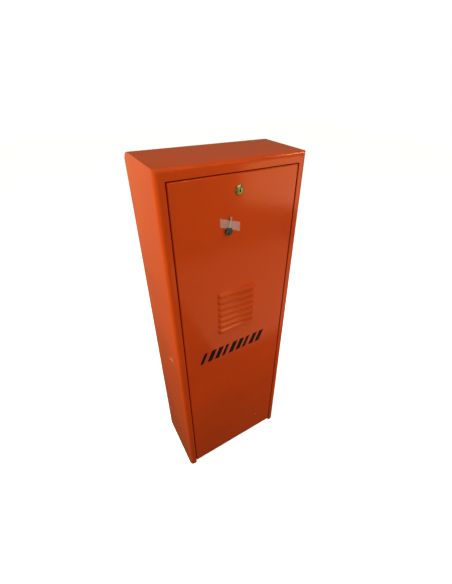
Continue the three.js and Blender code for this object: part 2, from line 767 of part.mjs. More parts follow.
// Solid bump of one louvre, inset for its hollow inside. Its lower edge is open, its ends taper.
function louvreBump(top, inset) {
  const low = top - LOUVRE_HEIGHT - (inset ? 2 : 0);
  const back = FRONT + (inset ? 3 : 0.5);
  const crown = FRONT - LOUVRE_OUT + inset;
  const profile = [
    [back, top - inset],
    [back, low],
    [crown, low],
    [crown, top - LOUVRE_HEIGHT + 3],
    [crown + 1.6, top - LOUVRE_HEIGHT + 7],
    [FRONT + (inset ? 0 : -0.6), top - inset * 0.6],
  ];
  const bump = prism(profile, "x", LOUVRE_CENTRE_X - LOUVRE_HALF_WIDTH, LOUVRE_CENTRE_X + LOUVRE_HALF_WIDTH);
  const reach = LOUVRE_HALF_WIDTH - inset;
  const taper = 6;
  const plan = [
    [LOUVRE_CENTRE_X - reach, back + 1],
    [LOUVRE_CENTRE_X - reach, FRONT - (inset ? 0 : 0.4)],
    [LOUVRE_CENTRE_X - reach + taper, crown - 0.01],
    [LOUVRE_CENTRE_X + reach - taper, crown - 0.01],
    [LOUVRE_CENTRE_X + reach, FRONT - (inset ? 0 : 0.4)],
    [LOUVRE_CENTRE_X + reach, back + 1],
  ];
  return bump.intersect(prism(plan, "z", top - 40, top + 10));
}

function door() {
  const tray = cut(
    block([-DOOR_HALF, DOOR_HALF], [FRONT, FRONT + DOOR_RETURN], [DOOR_BOTTOM, DOOR_TOP]),
    block(inward([-DOOR_HALF, DOOR_HALF], DOOR_SHEET), [FRONT + DOOR_SHEET, 0], inward([DOOR_BOTTOM, DOOR_TOP], DOOR_SHEET)),
    bar("y", [0, LOCK_Z], 9.5 + GAP, FRONT - 1, FRONT + 5),
    ...[-PIN_X, PIN_X].map((x) => bar("z", [x, PIN_Y], 7, DOOR_BOTTOM - 1, DOOR_BOTTOM + 3, 16)),
  );
  const tops = Array.from({ length: LOUVRE_COUNT }, (_, i) => LOUVRE_TOP_Z - i * LOUVRE_PITCH);
  return cut(join(tray, ...tops.map((top) => louvreBump(top, 0))), ...tops.map((top) => louvreBump(top, DOOR_SHEET)));
}
add("door_panel", door(), orangePaint);

// ---- door lock ----
const lockBar = (radius, from, to, sides = 32) => bar("y", [0, LOCK_Z], radius, FRONT + from, FRONT + to, sides);
add(
  "lock_housing",
  cut(
    join(lockBar(11.5, -3.5, -GAP), lockBar(9.5, -1, 17)),
    lockBar(6.5 + GAP, -5, 20, 24),
  ),
  brass,
);
add(
  "lock_nut",
  cut(
    prism(hexagon([0, LOCK_Z], 24), "y", FRONT + DOOR_SHEET + GAP, FRONT + 6),
    lockBar(9.5 + GAP, 0, 10),
  ),
  zincPlate,
);
add(
  "lock_plug",
  cut(
    join(lockBar(6.5, -4.2, 17, 24), lockBar(4, 16, 23, 16)),
    block([-1.1, 1.1], [FRONT - 6, FRONT - 1], [LOCK_Z - 3.5, LOCK_Z + 3.5]),
  ),
  brass,
);
add(
  "lock_cam",
  cut(
    prism(
      [...arc([0, LOCK_Z], 9, 180, 360, 8), ...arc([0, LOCK_Z + 28], 7.5, 0, 180, 8)],
      "y",
      FRONT + 17 + GAP,
      FRONT + 20,
    ),
    lockBar(4 + GAP, 15, 25, 16),
  ),
  zincPlate,
);

// ---- key taped to the door ----
const KEY_FOOT = [-30.5, 915];
const KEY_TIP = [-21, 960];
const KEY_HEAD_LENGTH = 18;
function keyPoint(along, across = 0) {
  const du = KEY_TIP[0] - KEY_FOOT[0];
  const dv = KEY_TIP[1] - KEY_FOOT[1];
  const length = Math.hypot(du, dv);
  return [
    KEY_FOOT[0] + (du * along + dv * across) / length,
    KEY_FOOT[1] + (dv * along - du * across) / length,
  ];
}
const KEY_LENGTH = Math.hypot(KEY_TIP[0] - KEY_FOOT[0], KEY_TIP[1] - KEY_FOOT[1]);
add(
  "key_head",
  prism(
    [[0, -6], [4, -9], [13, -9], [KEY_HEAD_LENGTH, -5], [KEY_HEAD_LENGTH, 5], [13, 9], [4, 9], [0, 6]].map(([a, b]) => keyPoint(a, b)),
    "y",
    FRONT - 6.5,
    FRONT - GAP,
  ),
  darkPlastic,
);
add(
  "key_blade",
  prism(
    [
      [KEY_HEAD_LENGTH + GAP, -2.4],
      [KEY_LENGTH - 2, -2.4],
      [KEY_LENGTH, -1],
      [KEY_LENGTH, 2.4],
      [KEY_HEAD_LENGTH + GAP, 2.4],
    ].map(([a, b]) => keyPoint(a, b)),
    "y",
    FRONT - 4.2,
    FRONT - 1.8,
  ),
  polishedSteel,
);

export default root;
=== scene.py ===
"""Looks of the barrier upright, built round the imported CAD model. Metres, +Z up, the door faces -Y."""

import json
import math
import random

import bmesh
import bpy
from mathutils import Matrix, Vector


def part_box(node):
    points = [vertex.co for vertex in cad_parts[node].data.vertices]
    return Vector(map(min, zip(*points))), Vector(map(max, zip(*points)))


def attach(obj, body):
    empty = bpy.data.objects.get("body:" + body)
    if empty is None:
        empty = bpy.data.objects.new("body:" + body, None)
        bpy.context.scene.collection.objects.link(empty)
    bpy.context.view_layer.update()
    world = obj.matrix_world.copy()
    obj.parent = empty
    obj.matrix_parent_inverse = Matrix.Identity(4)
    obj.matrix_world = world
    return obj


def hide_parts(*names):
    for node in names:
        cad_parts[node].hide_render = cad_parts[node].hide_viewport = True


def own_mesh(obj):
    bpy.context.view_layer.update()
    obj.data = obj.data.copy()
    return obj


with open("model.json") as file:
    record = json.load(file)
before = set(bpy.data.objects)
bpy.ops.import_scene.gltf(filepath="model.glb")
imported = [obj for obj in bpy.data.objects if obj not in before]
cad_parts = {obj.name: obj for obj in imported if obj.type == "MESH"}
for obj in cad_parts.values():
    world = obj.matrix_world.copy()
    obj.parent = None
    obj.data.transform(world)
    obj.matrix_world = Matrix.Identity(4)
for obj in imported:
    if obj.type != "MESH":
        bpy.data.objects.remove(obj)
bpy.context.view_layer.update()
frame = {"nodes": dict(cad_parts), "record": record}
NODES = frame["nodes"]
random.seed(7)

# ---- sizes, taken from the CAD nodes ----
def middle_z(node):
    low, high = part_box(node)
    return (low.z + high.z) / 2


HOOD_LOW, HOOD_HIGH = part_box("hood_panel")
DOOR_LOW, DOOR_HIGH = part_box("door_panel")
HALF_W = -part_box("side_panel_left")[0].x
HALF_D = HOOD_HIGH.y
HEIGHT = HOOD_HIGH.z
FRONT = HOOD_LOW.y
SHAFT_Z = middle_z("beam_flange")
LOCK_Z = middle_z("lock_plug")
DOOR_GAP = 0.003
OPENING_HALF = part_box("side_panel_right")[0].x
OPENING_TOP = DOOR_HIGH.z + DOOR_GAP
SHEET = 0.002
LIP_DEPTH = 0.0185
CLEAR = 0.01  # how far a cutting solid reaches past what it cuts


# ---- materials ----
def material(name, color, rough=0.5, metallic=0.0, **more):
    """A node material: its colour and roughness vary by noise, and its surface has a bump."""
    mat = bpy.data.materials.new(name)
    mat.use_nodes = True
    tree = mat.node_tree
    nodes, links = tree.nodes, tree.links
    shader = nodes["Principled BSDF"]
    shader.inputs["Metallic"].default_value = metallic
    for key in ("Coat Weight", "Transmission Weight", "IOR", "Specular IOR Level", "Alpha"):
        if key in more:
            shader.inputs[key].default_value = more[key]
    coords = nodes.new("ShaderNodeTexCoord")

    noise = nodes.new("ShaderNodeTexNoise")
    noise.inputs["Scale"].default_value = more.get("cloud", 14.0)
    noise.inputs["Detail"].default_value = 6.0
    links.new(coords.outputs["Object"], noise.inputs["Vector"])
    ramp = nodes.new("ShaderNodeValToRGB")
    spread = more.get("spread", 0.12)
    dark = [c * (1 - spread) for c in color]
    light = [min(1, c * (1 + spread)) for c in color]
    ramp.color_ramp.elements[0].position = 0.3
    ramp.color_ramp.elements[1].position = 0.7
    ramp.color_ramp.elements[0].color = (*dark, 1)
    ramp.color_ramp.elements[1].color = (*light, 1)
    links.new(noise.outputs["Fac"], ramp.inputs["Fac"])
    links.new(ramp.outputs["Color"], shader.inputs["Base Color"])

    rough_noise = nodes.new("ShaderNodeTexNoise")
    rough_noise.inputs["Scale"].default_value = more.get("rough_scale", 60.0)
    rough_noise.inputs["Detail"].default_value = 4.0
    links.new(coords.outputs["Object"], rough_noise.inputs["Vector"])
    rough_map = nodes.new("ShaderNodeMapRange")
    vary = more.get("rough_vary", 0.1)
    rough_map.inputs["To Min"].default_value = max(0.02, rough - vary)
    rough_map.inputs["To Max"].default_value = min(1, rough + vary)
    links.new(rough_noise.outputs["Fac"], rough_map.inputs["Value"])
    links.new(rough_map.outputs["Result"], shader.inputs["Roughness"])

    grain = nodes.new("ShaderNodeTexNoise")
    grain.inputs["Scale"].default_value = more.get("grain", 500.0)
    grain.inputs["Detail"].default_value = 3.0
    stretch = nodes.new("ShaderNodeMapping")
    stretch.inputs["Scale"].default_value = more.get("stretch", (1, 1, 1))
    links.new(coords.outputs["Object"], stretch.inputs["Vector"])
    links.new(stretch.outputs["Vector"], grain.inputs["Vector"])
    bump = nodes.new("ShaderNodeBump")
    bump.inputs["Strength"].default_value = more.get("bump", 0.1)
    bump.inputs["Distance"].default_value = more.get("depth", 0.0004)
    links.new(grain.outputs["Fac"], bump.inputs["Height"])
    links.new(bump.outputs["Normal"], shader.inputs["Normal"])
    return mat


def mixed_in(mat, mask, color):
    """Mixes a colour over the material's base colour where the mask says."""
    nodes, links = mat.node_tree.nodes, mat.node_tree.links
    base = nodes["Principled BSDF"].inputs["Base Color"]
    under = base.links[0].from_socket
    mix = nodes.new("ShaderNodeMix")
    mix.data_type = "RGBA"  # its sockets: 0 factor, 6 and 7 the colours, output 2 the colour
    mix.inputs[7].default_value = (*color, 1)
    links.new(mask, mix.inputs[0])
    links.new(under, mix.inputs[6])
    links.new(mix.outputs[2], base)


SPOT_RADIUS = 1.3  # of the sum of distance and noise, in units of the spot's size
SPOT_EDGE = 0.35


def spot_mask(mat, centre, size):
    """A soft, ragged spot round a point, in the object's own coordinates."""
    nodes, links = mat.node_tree.nodes, mat.node_tree.links
    coords = nodes.new("ShaderNodeTexCoord")
    move = nodes.new("ShaderNodeMapping")
    move.vector_type = "TEXTURE"
    move.inputs["Location"].default_value = centre
    move.inputs["Scale"].default_value = size
    links.new(coords.outputs["Object"], move.inputs["Vector"])
    ragged = nodes.new("ShaderNodeTexNoise")
    ragged.inputs["Scale"].default_value = 2.5
    ragged.inputs["Detail"].default_value = 5.0
    links.new(move.outputs["Vector"], ragged.inputs["Vector"])
    length = nodes.new("ShaderNodeVectorMath")
    length.operation = "LENGTH"
    links.new(move.outputs["Vector"], length.inputs[0])
    total = nodes.new("ShaderNodeMath")
    links.new(length.outputs["Value"], total.inputs[0])
    links.new(ragged.outputs["Fac"], total.inputs[1])
    fade = nodes.new("ShaderNodeMapRange")
    fade.inputs["From Min"].default_value = SPOT_RADIUS
    fade.inputs["From Max"].default_value = SPOT_RADIUS + SPOT_EDGE
    fade.inputs["To Min"].default_value = 1.0
    fade.inputs["To Max"].default_value = 0.0
    links.new(total.outputs[0], fade.inputs["Value"])
    return fade.outputs["Result"]


def darker_towards_ground(mat, top, amount):
    """A mask that darkens the colour near the ground and thins out upwards."""
    nodes, links = mat.node_tree.nodes, mat.node_tree.links
    coords = nodes.new("ShaderNodeTexCoord")
    split = nodes.new("ShaderNodeSeparateXYZ")
    links.new(coords.outputs["Object"], split.inputs["Vector"])
    rise = nodes.new("ShaderNodeMapRange")
    rise.inputs["From Min"].default_value = 0.0
    rise.inputs["From Max"].default_value = top
    rise.inputs["To Min"].default_value = amount
    rise.inputs["To Max"].default_value = 0.0
    links.new(split.outputs["Z"], rise.inputs["Value"])
    noise = nodes.new("ShaderNodeTexNoise")
    noise.inputs["Scale"].default_value = 35.0
    noise.inputs["Detail"].default_value = 8.0
    links.new(coords.outputs["Object"], noise.inputs["Vector"])
    product = nodes.new("ShaderNodeMath")
    product.operation = "MULTIPLY"
    links.new(rise.outputs["Result"], product.inputs[0])
    links.new(noise.outputs["Fac"], product.inputs[1])
    return product.outputs[0]


def orange_enamel(name):
    """Glossy enamel. Its reflections are tinted, as on a warm pigmented paint."""
    mat = material(
        name,
        (0.64, 0.067, 0.0085),
        rough=0.14,
        rough_vary=0.04,
        cloud=5.0,
        spread=0.07,
        grain=260.0,
        bump=0.045,
        depth=0.0004,
        **{"Specular IOR Level": 0.42},
    )
    mat.node_tree.nodes["Principled BSDF"].inputs["Specular Tint"].default_value = (1.0, 0.42, 0.16, 1)
    return mat


SCUFF = (0.78, 0.4, 0.26)
# The colour mixed in near the ground, so that the paint is darker towards the bottom.
GROUND_DARKENING = (0.24, 0.1, 0.05)
shell_paint = orange_enamel("shell_enamel")
mixed_in(shell_paint, darker_towards_ground(shell_paint, 0.06, 0.2), GROUND_DARKENING)
for place, size in (
    ((-HALF_W, -0.048, 0.524), (0.004, 0.009, 0.0045)),
    ((-HALF_W, -0.03, 0.512), (0.004, 0.004, 0.003)),
    ((-HALF_W, 0.068, 0.138), (0.004, 0.006, 0.004)),
):
    mixed_in(shell_paint, spot_mask(shell_paint, place, size), SCUFF)
door_paint = orange_enamel("door_enamel")
# The door's paint is darker towards the bottom in the same way.
mixed_in(door_paint, darker_towards_ground(door_paint, 0.07, 0.16), GROUND_DARKENING)
mixed_in(door_paint, spot_mask(door_paint, (0.096, FRONT, 0.1), (0.003, 0.004, 0.002)), SCUFF)

SLOT_MATERIALS = {
    "orange_enamel": door_paint,
    "zinc_plate": material("zinc_plate", (0.62, 0.6, 0.5), 0.34, 1.0, cloud=22, spread=0.16, bump=0.08, grain=700),
    "dark_steel": material("dark_steel", (0.07, 0.072, 0.08), 0.42, 0.85, cloud=40, spread=0.3, bump=0.15),
    "ground_steel": material(
        "ground_steel", (0.72, 0.73, 0.75), 0.16, 1.0, spread=0.04, bump=0.05, stretch=(1, 1, 30), rough_vary=0.06
    ),
    "cast_aluminium": material(
        "cast_aluminium", (0.5, 0.51, 0.52), 0.5, 0.9, cloud=60, spread=0.14, grain=350, bump=0.35, depth=0.0006
    ),
    "bronze": material("bronze", (0.55, 0.3, 0.1), 0.3, 1.0, cloud=50, spread=0.2, bump=0.06),
    "brass": material(
        "brass", (0.34, 0.33, 0.13), 0.33, 1.0, cloud=160, spread=0.35, bump=0.12, grain=900, depth=0.0002
    ),
    "black_paint": material(
        "black_paint", (0.014, 0.015, 0.016), 0.38, 0.0, spread=0.3, bump=0.14, grain=400, **{"Coat Weight": 0.3}
    ),
    "spring_paint": material("spring_paint", (0.018, 0.019, 0.026), 0.35, 0.1, spread=0.3, bump=0.12, grain=450),
    "black_rubber": material("black_rubber", (0.012, 0.012, 0.012), 0.72, 0.0, cloud=60, spread=0.35, bump=0.2),
    "grey_plastic": material("grey_plastic", (0.42, 0.43, 0.44), 0.48, 0.0, spread=0.05, grain=1400, bump=0.14),
    "clear_plastic": material(
        "clear_plastic", (0.86, 0.9, 0.92), 0.08, 0.0, spread=0.03, bump=0.02,
        **{"Transmission Weight": 0.92, "IOR": 1.49},
    ),
    "circuit_board": material(
        "circuit_board", (0.02, 0.16, 0.07), 0.4, 0.0, cloud=300, spread=0.4, bump=0.2, grain=600
    ),
    "dark_plastic": material(
        "dark_plastic", (0.028, 0.05, 0.042), 0.42, 0.0, cloud=90, spread=0.3, grain=1200, bump=0.12
    ),
}
tape_look = material(
    "clear_tape", (0.85, 0.8, 0.78), 0.22, 0.0, spread=0.06, cloud=120, grain=160, bump=0.5, depth=0.0006,
    **{"Alpha": 0.24, "Specular IOR Level": 0.6},
)
# Black ink: the colour of the printed mark, and also the painted shade inside the keyway.
ink_and_painted_shade = material(
    "black_ink_and_painted_shade", (0.004, 0.0035, 0.003), 0.5, 0.0, cloud=90, spread=0.3, grain=800, bump=0.06,
    **{"Specular IOR Level": 0.15},
)
gasket_look = material("gasket_foam", (0.02, 0.02, 0.02), 0.9, 0.0, cloud=200, spread=0.4, grain=900, bump=0.5)


# ---- mesh helpers ----
def put(name, mesh_or_bm, mat, body, smooth=True):
    """Makes a piece of a mesh or bmesh, with its material, on a body and in a slot."""
    mesh = mesh_or_bm
    if isinstance(mesh_or_bm, bmesh.types.BMesh):
        mesh = bpy.data.meshes.new(name)
        mesh_or_bm.to_mesh(mesh)
        mesh_or_bm.free()
    obj = bpy.data.objects.new(name, mesh)
    bpy.context.scene.collection.objects.link(obj)
    mesh.materials.clear()
    mesh.materials.append(mat)
    if smooth:
        mesh.polygons.foreach_set("use_smooth", [True] * len(mesh.polygons))
    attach(obj, body)
    return obj


def bevelled(obj, width, segments=2, angle=40):
    """Rounds the edges sharper than an angle in degrees."""
    mod = obj.modifiers.new("edges", "BEVEL")
    mod.width = width
    mod.segments = segments
    mod.limit_method = "ANGLE"
    mod.angle_limit = math.radians(angle)
    mod.use_clamp_overlap = True
    obj.modifiers.new("shading", "WEIGHTED_NORMAL").keep_sharp = True
    return obj


def arc(centre, radius, start, end, steps):
    """Points of an arc in a plane, from one angle to another in degrees."""
    return [
        (
            centre[0] + radius * math.cos(math.radians(start + (end - start) * i / steps)),
            centre[1] + radius * math.sin(math.radians(start + (end - start) * i / steps)),
        )
        for i in range(steps + 1)
    ]


AXES = {"x": (1, 2, 0), "y": (0, 2, 1), "z": (0, 1, 2)}


def prism(outline, axis, low, high):
    """A bmesh prism. The outline is (y, z) on axis x, (x, z) on y and (x, y) on z."""
    u, v, w = AXES[axis]
    bm = bmesh.new()
    rings = []
    for level in (low, high):
        ring = []
        for a, b in outline:
            co = [0, 0, 0]
            co[u], co[v], co[w] = a, b, level
            ring.append(bm.verts.new(co))
        rings.append(ring)
    count = len(outline)
    bm.faces.new(rings[0][::-1])
    bm.faces.new(rings[1])
    for i in range(count):
        j = (i + 1) % count
        bm.faces.new((rings[0][i], rings[0][j], rings[1][j], rings[1][i]))
    bmesh.ops.recalc_face_normals(bm, faces=bm.faces)
    return bm


def box_bm(x, y, z):
    return prism([(x[0], y[0]), (x[1], y[0]), (x[1], y[1]), (x[0], y[1])], "z", *z)


def round_bar(axis, centre, radius, low, high, sides=48):
    return prism(arc(centre, radius, 0, 360 - 360 / sides, sides - 1), axis, low, high)


def bm_of(mesh):
    """The bmesh of a mesh that is no longer needed."""
    bm = bmesh.new()
    bm.from_mesh(mesh)
    bpy.data.meshes.remove(mesh)
    return bm


def scratch(bm):
    """An object that lasts only while a boolean is worked out."""
    mesh = bpy.data.meshes.new("scratch")
    bm.to_mesh(mesh)
    bm.free()
    obj = bpy.data.objects.new("scratch", mesh)
    bpy.context.scene.collection.objects.link(obj)
    return obj


def combine(base, steps):
    """Exact booleans of bmesh solids, one after another. Returns the result as a mesh."""
    obj = scratch(base)
    helpers = []
    for operation, bm in steps:
        tool = scratch(bm)
        helpers.append(tool)
        mod = obj.modifiers.new("cut", "BOOLEAN")
        mod.operation = operation
        mod.solver = "EXACT"
        mod.object = tool
    bpy.context.view_layer.update()
    graph = bpy.context.evaluated_depsgraph_get()
    mesh = bpy.data.meshes.new_from_object(obj.evaluated_get(graph))
    for used in [obj, *helpers]:
        old = used.data
        bpy.data.objects.remove(used)
        bpy.data.meshes.remove(old)
    return mesh


def lathe(profile, sides=48):
    """A turned solid about +Z from (radius, z) points that start and end on the axis."""
    bm = bmesh.new()
    turns = [2 * math.pi * i / sides for i in range(sides)]
    rings = []
    for r, z in profile:
        if r == 0:
            rings.append([bm.verts.new((0, 0, z))])
        else:
            rings.append([bm.verts.new((r * math.cos(a), r * math.sin(a), z)) for a in turns])
    for low, high in zip(rings, rings[1:]):
        for i in range(sides):
            j = (i + 1) % sides
            if len(low) == 1 and len(high) == 1:
                continue
            if len(low) == 1:
                bm.faces.new((low[0], high[j], high[i]))
            elif len(high) == 1:
                bm.faces.new((low[i], low[j], high[0]))
            else:
                bm.faces.new((low[i], low[j], high[j], high[i]))
    bmesh.ops.recalc_face_normals(bm, faces=bm.faces)
    return bm


def turned_to(bm, direction, place):
    """Turns a solid built along +Z to a direction, and moves it."""
    turn = Vector((0, 0, 1)).rotation_difference(Vector(direction)).to_matrix().to_4x4()
    bmesh.ops.transform(bm, matrix=Matrix.Translation(Vector(place)) @ turn, verts=bm.verts)
    return bm


def on_lock(profile):
    """A turned piece on the lock's axis. Its profile's heights point out of the door."""
    return turned_to(lathe(profile), (0, -1, 0), (0, FRONT, LOCK_Z))


# ---- CAD nodes that keep their shape: welded, softened edges and a procedural finish ----
def finish_node(name, mat, width):
    """Gives a CAD node its finish. Only modifiers touch its mesh."""
    obj = NODES[name]
    mesh = obj.data
    if "custom_normal" in mesh.attributes:
        mesh.attributes.remove(mesh.attributes["custom_normal"])
    mesh.materials.clear()
    mesh.materials.append(mat)
    mesh.polygons.foreach_set("use_smooth", [True] * len(mesh.polygons))
    weld = obj.modifiers.new("weld", "WELD")
    weld.merge_threshold = 0.00002
    flat = obj.modifiers.new("flats", "DECIMATE")
    flat.decimate_type = "DISSOLVE"
    flat.angle_limit = math.radians(0.6)
    bevelled(obj, width, 2, 32)


EDGE_WIDTH = 0.0005
WIDER_EDGES = {
    "pump_block": 0.0015, "oil_tank": 0.0012, "rocker_arm": 0.0015, "beam_flange": 0.001, "control_box": 0.001,
}  # fmt: skip
for entry in frame["record"]["subparts"]:
    node = entry["node"]
    finish_node(node, SLOT_MATERIALS[entry["material_slot"]], WIDER_EDGES.get(node, EDGE_WIDTH))


# ---- cabinet shell: two outlines crossed, then hollowed by the same solid one sheet smaller ----
REAR_TOP_RADIUS = 0.04
FRONT_TOP_RADIUS = 0.010
FRONT_CORNER_RADIUS = 0.012
REAR_CORNER_RADIUS = 0.006
SHAFT_HOLE_RADIUS = 0.032


def foot_of(inset):
    """The hollow reaches below the shell, so that the shell is open underneath."""
    return -0.001 if inset else 0.0


def side_outline(inset):
    y, top = HALF_D - inset, HEIGHT - inset
    rear, front = REAR_TOP_RADIUS - inset, FRONT_TOP_RADIUS - inset
    foot = foot_of(inset)
    return [
        (-y, foot),
        (y, foot),
        *arc((y - rear, top - rear), rear, 0, 90, 20),
        *arc((-y + front, top - front), front, 90, 180, 8),
    ]


def plan_outline(inset):
    x, y = HALF_W - inset, HALF_D - inset
    front, rear = FRONT_CORNER_RADIUS - inset, REAR_CORNER_RADIUS - inset
    return [
        *arc((-x + front, -y + front), front, 180, 270, 10),
        *arc((x - front, -y + front), front, 270, 360, 10),
        *arc((x - rear, y - rear), rear, 0, 90, 6),
        *arc((-x + rear, y - rear), rear, 90, 180, 6),
    ]


def blank(inset):
    """The cabinet's outer form as one solid, smaller all round by the inset."""
    x = HALF_W - inset
    return combine(
        prism(side_outline(inset), "x", -x, x),
        [("INTERSECT", prism(plan_outline(inset), "z", foot_of(inset), HEIGHT + CLEAR))],
    )


def lips():
    """The folded edges round the door's opening."""
    outer_half = OPENING_HALF + SHEET
    outer = box_bm((-outer_half, outer_half), (FRONT + 0.001, FRONT + LIP_DEPTH), (0, OPENING_TOP + SHEET))
    hole = box_bm((-OPENING_HALF, OPENING_HALF), (FRONT - CLEAR, FRONT + 0.05), (-CLEAR, OPENING_TOP))
    return bm_of(combine(outer, [("DIFFERENCE", hole)]))


def cabinet_shell():
    """Both sides, the top, the rear wall and the strip over the door, as one welded sheet."""
    opening = box_bm((-OPENING_HALF, OPENING_HALF), (FRONT - CLEAR, FRONT + LIP_DEPTH), (-CLEAR, OPENING_TOP))
    shaft_hole = round_bar("y", (0, SHAFT_Z), SHAFT_HOLE_RADIUS, HALF_D - CLEAR, HALF_D + CLEAR, 64)
    return combine(
        bm_of(blank(0.0)),
        [
            ("DIFFERENCE", bm_of(blank(SHEET))),
            ("DIFFERENCE", opening),
            ("UNION", lips()),
            ("DIFFERENCE", shaft_hole),
        ],
    )


shell = put("cabinet_shell", cabinet_shell(), shell_paint, "cabinet")
bevelled(shell, 0.0009, 3, 40)
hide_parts("side_panel_left", "side_panel_right", "hood_panel")


# ---- door: folded tray with pressed louvres ----
LOUVRE_TOPS = [0.752 - i * 0.021 for i in range(7)]
LOUVRE_X = -0.001
LOUVRE_HALF = 0.059
LOUVRE_OUT = 0.0058
LOUVRE_DROP = 0.013
LOUVRE_END = 0.011  # how far the rounded ends reach inwards
LOUVRE_LEAD = 0.002  # the pressing starts this far above a louvre's top
RIM = 0.0022  # the radius of the tray's fold
TRAY_DEPTH = 0.018
SLOT_STEP = 0.0005  # a grid row lower than this closes a louvre's open edge
SLOT_PRESS = 0.0012  # it does so only where the sheet is pressed out this far


def ease(t):
    """A smooth rise from 0 to 1."""
    t = max(0.0, min(1.0, t))
    return t * t * (3 - 2 * t)


def louvre_height(x, z):
    """How far the sheet is pressed out at a point."""
    for top in LOUVRE_TOPS:
        bottom = top - LOUVRE_DROP
        if bottom - 1e-6 <= z <= top + LOUVRE_LEAD:
            rise = ease((top + LOUVRE_LEAD - z) / (LOUVRE_DROP * 0.78))
            reach = (LOUVRE_HALF - abs(x - LOUVRE_X)) / LOUVRE_END
            ends = math.sqrt(max(0.0, 1 - (1 - min(1.0, max(0.0, reach))) ** 2))
            return LOUVRE_OUT * rise * ends
    return 0.0


def door_axis(low, high, inner):
    """Positions across the door with the depth of its folded rim: (place, depth behind the front)."""
    near = [(low, TRAY_DEPTH), (low, TRAY_DEPTH * 0.5), (low, RIM)]
    near += [(low + RIM - RIM * math.cos(a), RIM - RIM * math.sin(a)) for a in (0.4, 0.8, 1.2)]
    near.append((low + RIM, 0.0))
    far = [(high - (place - low), depth) for place, depth in reversed(near)]
    middle = [(p, 0.0) for p in sorted(inner) if low + RIM + 1e-4 < p < high - RIM - 1e-4]
    return near + middle + far


def door_mesh():
    """The front sheet as a grid, finer in the louvres. The faces at each louvre's open edge are left out."""
    xs = [LOUVRE_X + side * (LOUVRE_HALF - LOUVRE_END * (k / 10) ** 1.6) for side in (-1, 1) for k in range(11)]
    xs += [LOUVRE_X + LOUVRE_HALF * 0.8 * (k / 8 - 1) for k in range(17)]
    xs += [-0.14, -0.11, -0.085, 0.085, 0.11, 0.14]
    zs = []
    for top in LOUVRE_TOPS:
        bottom = top - LOUVRE_DROP
        zs += [top + LOUVRE_LEAD - (LOUVRE_DROP + LOUVRE_LEAD) * k / 9 for k in range(10)]
        zs += [bottom - 0.0004, bottom - 0.002]
    zs += [0.1, 0.2, 0.3, 0.4, 0.5, 0.57, 0.8, 0.9, 0.98]
    columns = door_axis(DOOR_LOW.x, DOOR_HIGH.x, xs)
    rows = door_axis(DOOR_LOW.z, DOOR_HIGH.z, zs)
    bm = bmesh.new()
    grid = [
        [bm.verts.new((x, FRONT + max(dx, dz) - louvre_height(x, z), z)) for x, dx in columns] for z, dz in rows
    ]
    for low, high in zip(grid, grid[1:]):
        for i in range(len(columns) - 1):
            corners = (low[i], low[i + 1], high[i + 1], high[i])
            drop = abs(low[i].co.z - high[i].co.z)
            pressed = (high[i].co.y + high[i + 1].co.y) / 2 < FRONT - SLOT_PRESS
            if drop < SLOT_STEP and pressed and low[i].co.y > FRONT - 1e-5:
                continue
            bm.faces.new(corners)
    bmesh.ops.remove_doubles(bm, verts=bm.verts, dist=1e-6)
    bmesh.ops.dissolve_degenerate(bm, edges=bm.edges, dist=1e-6)
    bmesh.ops.recalc_face_normals(bm, faces=bm.faces)
    if sum(f.normal.y * f.calc_area() for f in bm.faces) > 0:
        bmesh.ops.reverse_faces(bm, faces=bm.faces)
    return bm


door = put("door_skin", door_mesh(), door_paint, "door")
thick = door.modifiers.new("thickness", "SOLIDIFY")
thick.thickness = 0.0013
thick.offset = -1
door.modifiers.new("shading", "WEIGHTED_NORMAL")
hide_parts("door_panel")


def door_gasket():
    """A foam strip round the inside of the door's front sheet."""
    x, low, high = DOOR_HIGH.x - 0.014, DOOR_LOW.z + 0.03, DOOR_HIGH.z - 0.014
    strip = 0.01
    outer = box_bm((-x, x), (FRONT + 0.0016, FRONT + 0.007), (low, high))
    inner = box_bm((-x + strip, x - strip), (FRONT - CLEAR, FRONT + 0.02), (low + strip, high - strip))
    return combine(outer, [("DIFFERENCE", inner)])


gasket = put("door_gasket", door_gasket(), gasket_look, "door")
bevelled(gasket, 0.0018, 3)

# ---- lock ----
ROSE = [
    (0.0, -0.001), (0.0112, -0.001), (0.0115, 0.0006), (0.0113, 0.0016), (0.0104, 0.0025),
    (0.0088, 0.0031), (0.0078, 0.0032), (0.0074, 0.0028), (0.0072, 0.0018), (0.0, 0.0018),
]  # fmt: skip
rose = put("lock_rose", on_lock(ROSE), SLOT_MATERIALS["brass"], "door")
THREAD_PITCH = 0.0015
BARREL = [(0.0, -0.0172), (0.0086, -0.0172), (0.0092, -0.0166)]
for k in range(9):
    BARREL += [(0.0092, -0.0158 + k * THREAD_PITCH), (0.0087, -0.0151 + k * THREAD_PITCH)]
BARREL += [(0.0087, -0.0016), (0.0, -0.0016)]
barrel = put("lock_barrel", on_lock(BARREL), SLOT_MATERIALS["brass"], "door")
for obj in (rose, barrel):
    obj.modifiers.new("shading", "WEIGHTED_NORMAL")
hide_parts("lock_housing")
PLUG = [(0.0, -0.0005), (0.0063, -0.0005), (0.0064, 0.0028), (0.0062, 0.0034), (0.0057, 0.0038), (0.0, 0.004)]


def keyway(half_width, half_height, low, high):
    """A solid of the keyway's shape: a slot that widens in its middle."""
    corners = [(-1, -1), (1, -1), (1, -0.3), (1.7, 0), (1, 0.3), (1, 1), (-1, 1), (-1, 0.3), (-1.7, 0), (-1, -0.3)]
    return prism([(x * half_width, LOCK_Z + z * half_height) for x, z in corners], "y", low, high)


